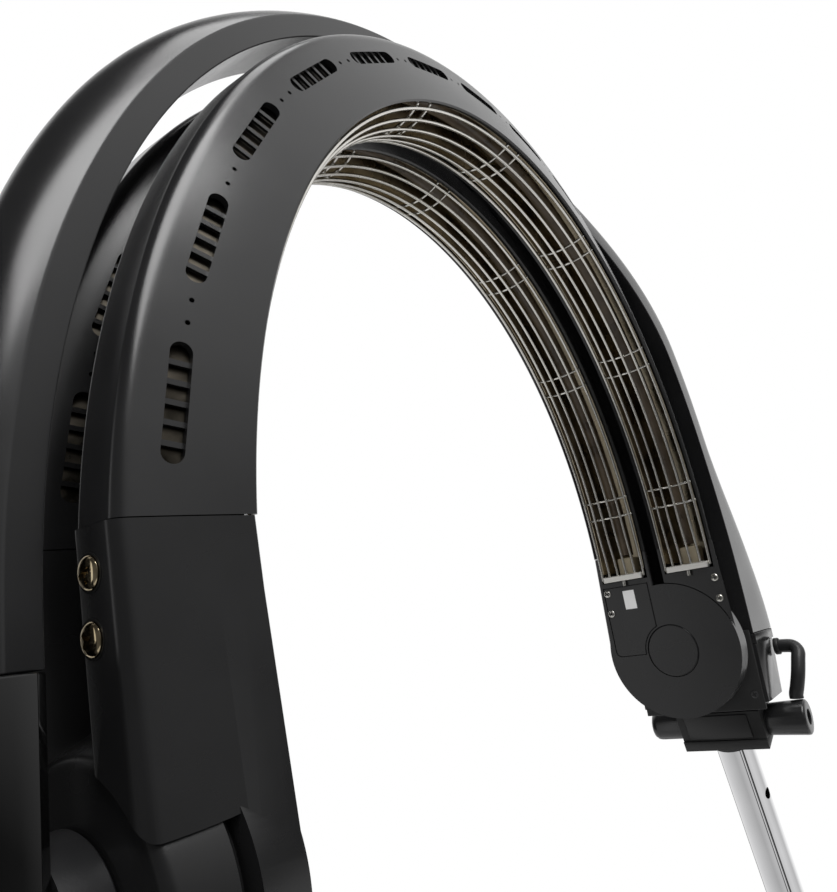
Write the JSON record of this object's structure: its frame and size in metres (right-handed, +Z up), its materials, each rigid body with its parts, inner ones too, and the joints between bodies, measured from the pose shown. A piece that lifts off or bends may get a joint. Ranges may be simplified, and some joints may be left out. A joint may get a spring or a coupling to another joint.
{
  "type": "hair color processor",
  "caption": "Floor-standing salon hair color processor: heated arches with wire guards swing on shared hubs, on a tilting arm over a height-adjustable rolling stand.",
  "frame": {"origin": "middle of the footprint box, on the floor", "axes": "+Z up along the post; +X from the control end of the arches to the post; +Y to the rear arch"},
  "size_m": [0.831, 0.606, 1.5633],
  "materials": {
    "satin_black": "satin moulded plastic",
    "gloss_black": "semi-gloss moulded plastic",
    "matt_black": "fine-grained moulded plastic",
    "base_black": "black powder-coated casting",
    "chrome": "polished",
    "nickel_wire": "bright nickel plate",
    "reflector": "heat-tinted sheet",
    "ceramic": "unglazed ceramic",
    "heater": "dark quartz tube",
    "window": "dark red filter",
    "rubber": "grey rubber",
    "board": "circuit board",
    "steel": "machined"
  },
  "bodies": {
    "base": {"base_star": "base_black", "lower_tube": "chrome", "height_collar": "satin_black"},
    "lock_knob": {"lock_knob": "matt_black"},
    "post": {"upper_tube": "chrome", "post_collar": "satin_black", "pivot_block": "matt_black", "pivot_pin": "steel", "barrel_front": "satin_black", "barrel_rear": "satin_black", "rating_plate": "matt_black"},
    "head": {"carrying_arm": "satin_black", "root_band": "gloss_black", "root_housing": "satin_black", "root_plate": "matt_black", "tilt_tongue": "matt_black", "control_housing": "gloss_black", "control_panel": "matt_black", "display_window": "window", "control_board": "board", "hub_axle_near": "steel", "hub_axle_far": "steel", "head_cable": "matt_black", "cable_gland": "matt_black"},
    "front_arch": {"front_shell": "satin_black", "front_reflector": "reflector", "front_heater": "heater", "front_guard": "nickel_wire", "front_holder_near": "ceramic", "front_holder_far": "ceramic", "front_end_near": "gloss_black", "front_end_far": "gloss_black", "front_cover": "gloss_black", "hub_cap_near": "gloss_black"},
    "rear_arch": {"rear_shell": "satin_black", "rear_reflector": "reflector", "rear_heater": "heater", "rear_guard": "nickel_wire", "rear_holder_near": "ceramic", "rear_holder_far": "ceramic", "rear_end_near": "gloss_black", "rear_end_far": "gloss_black", "rear_cover": "gloss_black", "hub_cap_far": "gloss_black"},
    "power_button": {"power_button": "rubber"},
    "mode_button": {"mode_button": "rubber"},
    "time_up_button": {"time_up_button": "rubber"},
    "time_down_button": {"time_down_button": "rubber"},
    "caster_1": {"caster_fork_1": "matt_black"},
    "caster_2": {"caster_fork_2": "matt_black"},
    "caster_3": {"caster_fork_3": "matt_black"},
    "caster_4": {"caster_fork_4": "matt_black"},
    "caster_5": {"caster_fork_5": "matt_black"},
    "wheel_1": {"caster_wheel_1": "rubber"},
    "wheel_2": {"caster_wheel_2": "rubber"},
    "wheel_3": {"caster_wheel_3": "rubber"},
    "wheel_4": {"caster_wheel_4": "rubber"},
    "wheel_5": {"caster_wheel_5": "rubber"}
  },
  "joints": [
    {"name": "height_slide", "type": "slide", "parent": "base", "child": "post", "axis": [0, 0, 1], "range_m": [-0.15, 0.25]},
    {"name": "lock_knob_turn", "type": "hinge", "parent": "base", "child": "lock_knob", "pos_m": [0.09846, 0, 0.628], "axis": [1, 0, 0], "range_deg": [-180, 180]},
    {"name": "head_tilt", "type": "hinge", "parent": "post", "child": "head", "pos_m": [0.09846, 0, 1.1], "axis": [0, 1, 0], "range_deg": [-20, 20], "deforming": ["head_cable"]},
    {"name": "front_swing", "type": "hinge", "parent": "head", "child": "front_arch", "pos_m": [-0.13436, 0, 1.23747], "axis": [0.9523, 0, -0.305], "range_deg": [0, 75]},
    {"name": "rear_swing", "type": "hinge", "parent": "head", "child": "rear_arch", "pos_m": [-0.13436, 0, 1.23747], "axis": [-0.9523, 0, 0.305], "range_deg": [0, 75]},
    {"name": "power_press", "type": "slide", "parent": "head", "child": "power_button", "axis": [0.9361, 0, -0.3518], "range_m": [0, 0.0015], "stiffness_N_per_m": 900},
    {"name": "mode_press", "type": "slide", "parent": "head", "child": "mode_button", "axis": [0.9361, 0, -0.3518], "range_m": [0, 0.0015], "stiffness_N_per_m": 900},
    {"name": "time_up_press", "type": "slide", "parent": "head", "child": "time_up_button", "axis": [0.9361, 0, -0.3518], "range_m": [0, 0.0015], "stiffness_N_per_m": 900},
    {"name": "time_down_press", "type": "slide", "parent": "head", "child": "time_down_button", "axis": [0.9361, 0, -0.3518], "range_m": [0, 0.0015], "stiffness_N_per_m": 900},
    {"name": "caster_swivel_1", "type": "hinge", "parent": "base", "child": "caster_1", "pos_m": [0.39846, 0, 0.062], "axis": [0, 0, 1], "continuous": true},
    {"name": "caster_swivel_2", "type": "hinge", "parent": "base", "child": "caster_2", "pos_m": [0.19117, 0.28532, 0.062], "axis": [0, 0, 1], "continuous": true},
    {"name": "caster_swivel_3", "type": "hinge", "parent": "base", "child": "caster_3", "pos_m": [-0.14424, 0.17634, 0.062], "axis": [0, 0, 1], "continuous": true},
    {"name": "caster_swivel_4", "type": "hinge", "parent": "base", "child": "caster_4", "pos_m": [-0.14424, -0.17634, 0.062], "axis": [0, 0, 1], "continuous": true},
    {"name": "caster_swivel_5", "type": "hinge", "parent": "base", "child": "caster_5", "pos_m": [0.19117, -0.28532, 0.062], "axis": [0, 0, 1], "continuous": true},
    {"name": "wheel_roll_1", "type": "hinge", "parent": "caster_1", "child": "wheel_1", "pos_m": [0.38246, 0, 0.025], "axis": [0, 1, 0], "continuous": true},
    {"name": "wheel_roll_2", "type": "hinge", "parent": "caster_2", "child": "wheel_2", "pos_m": [0.17517, 0.28532, 0.025], "axis": [0, 1, 0], "continuous": true},
    {"name": "wheel_roll_3", "type": "hinge", "parent": "caster_3", "child": "wheel_3", "pos_m": [-0.16024, 0.17634, 0.025], "axis": [0, 1, 0], "continuous": true},
    {"name": "wheel_roll_4", "type": "hinge", "parent": "caster_4", "child": "wheel_4", "pos_m": [-0.16024, -0.17634, 0.025], "axis": [0, 1, 0], "continuous": true},
    {"name": "wheel_roll_5", "type": "hinge", "parent": "caster_5", "child": "wheel_5", "pos_m": [0.17517, -0.28532, 0.025], "axis": [0, 1, 0], "continuous": true}
  ]
}
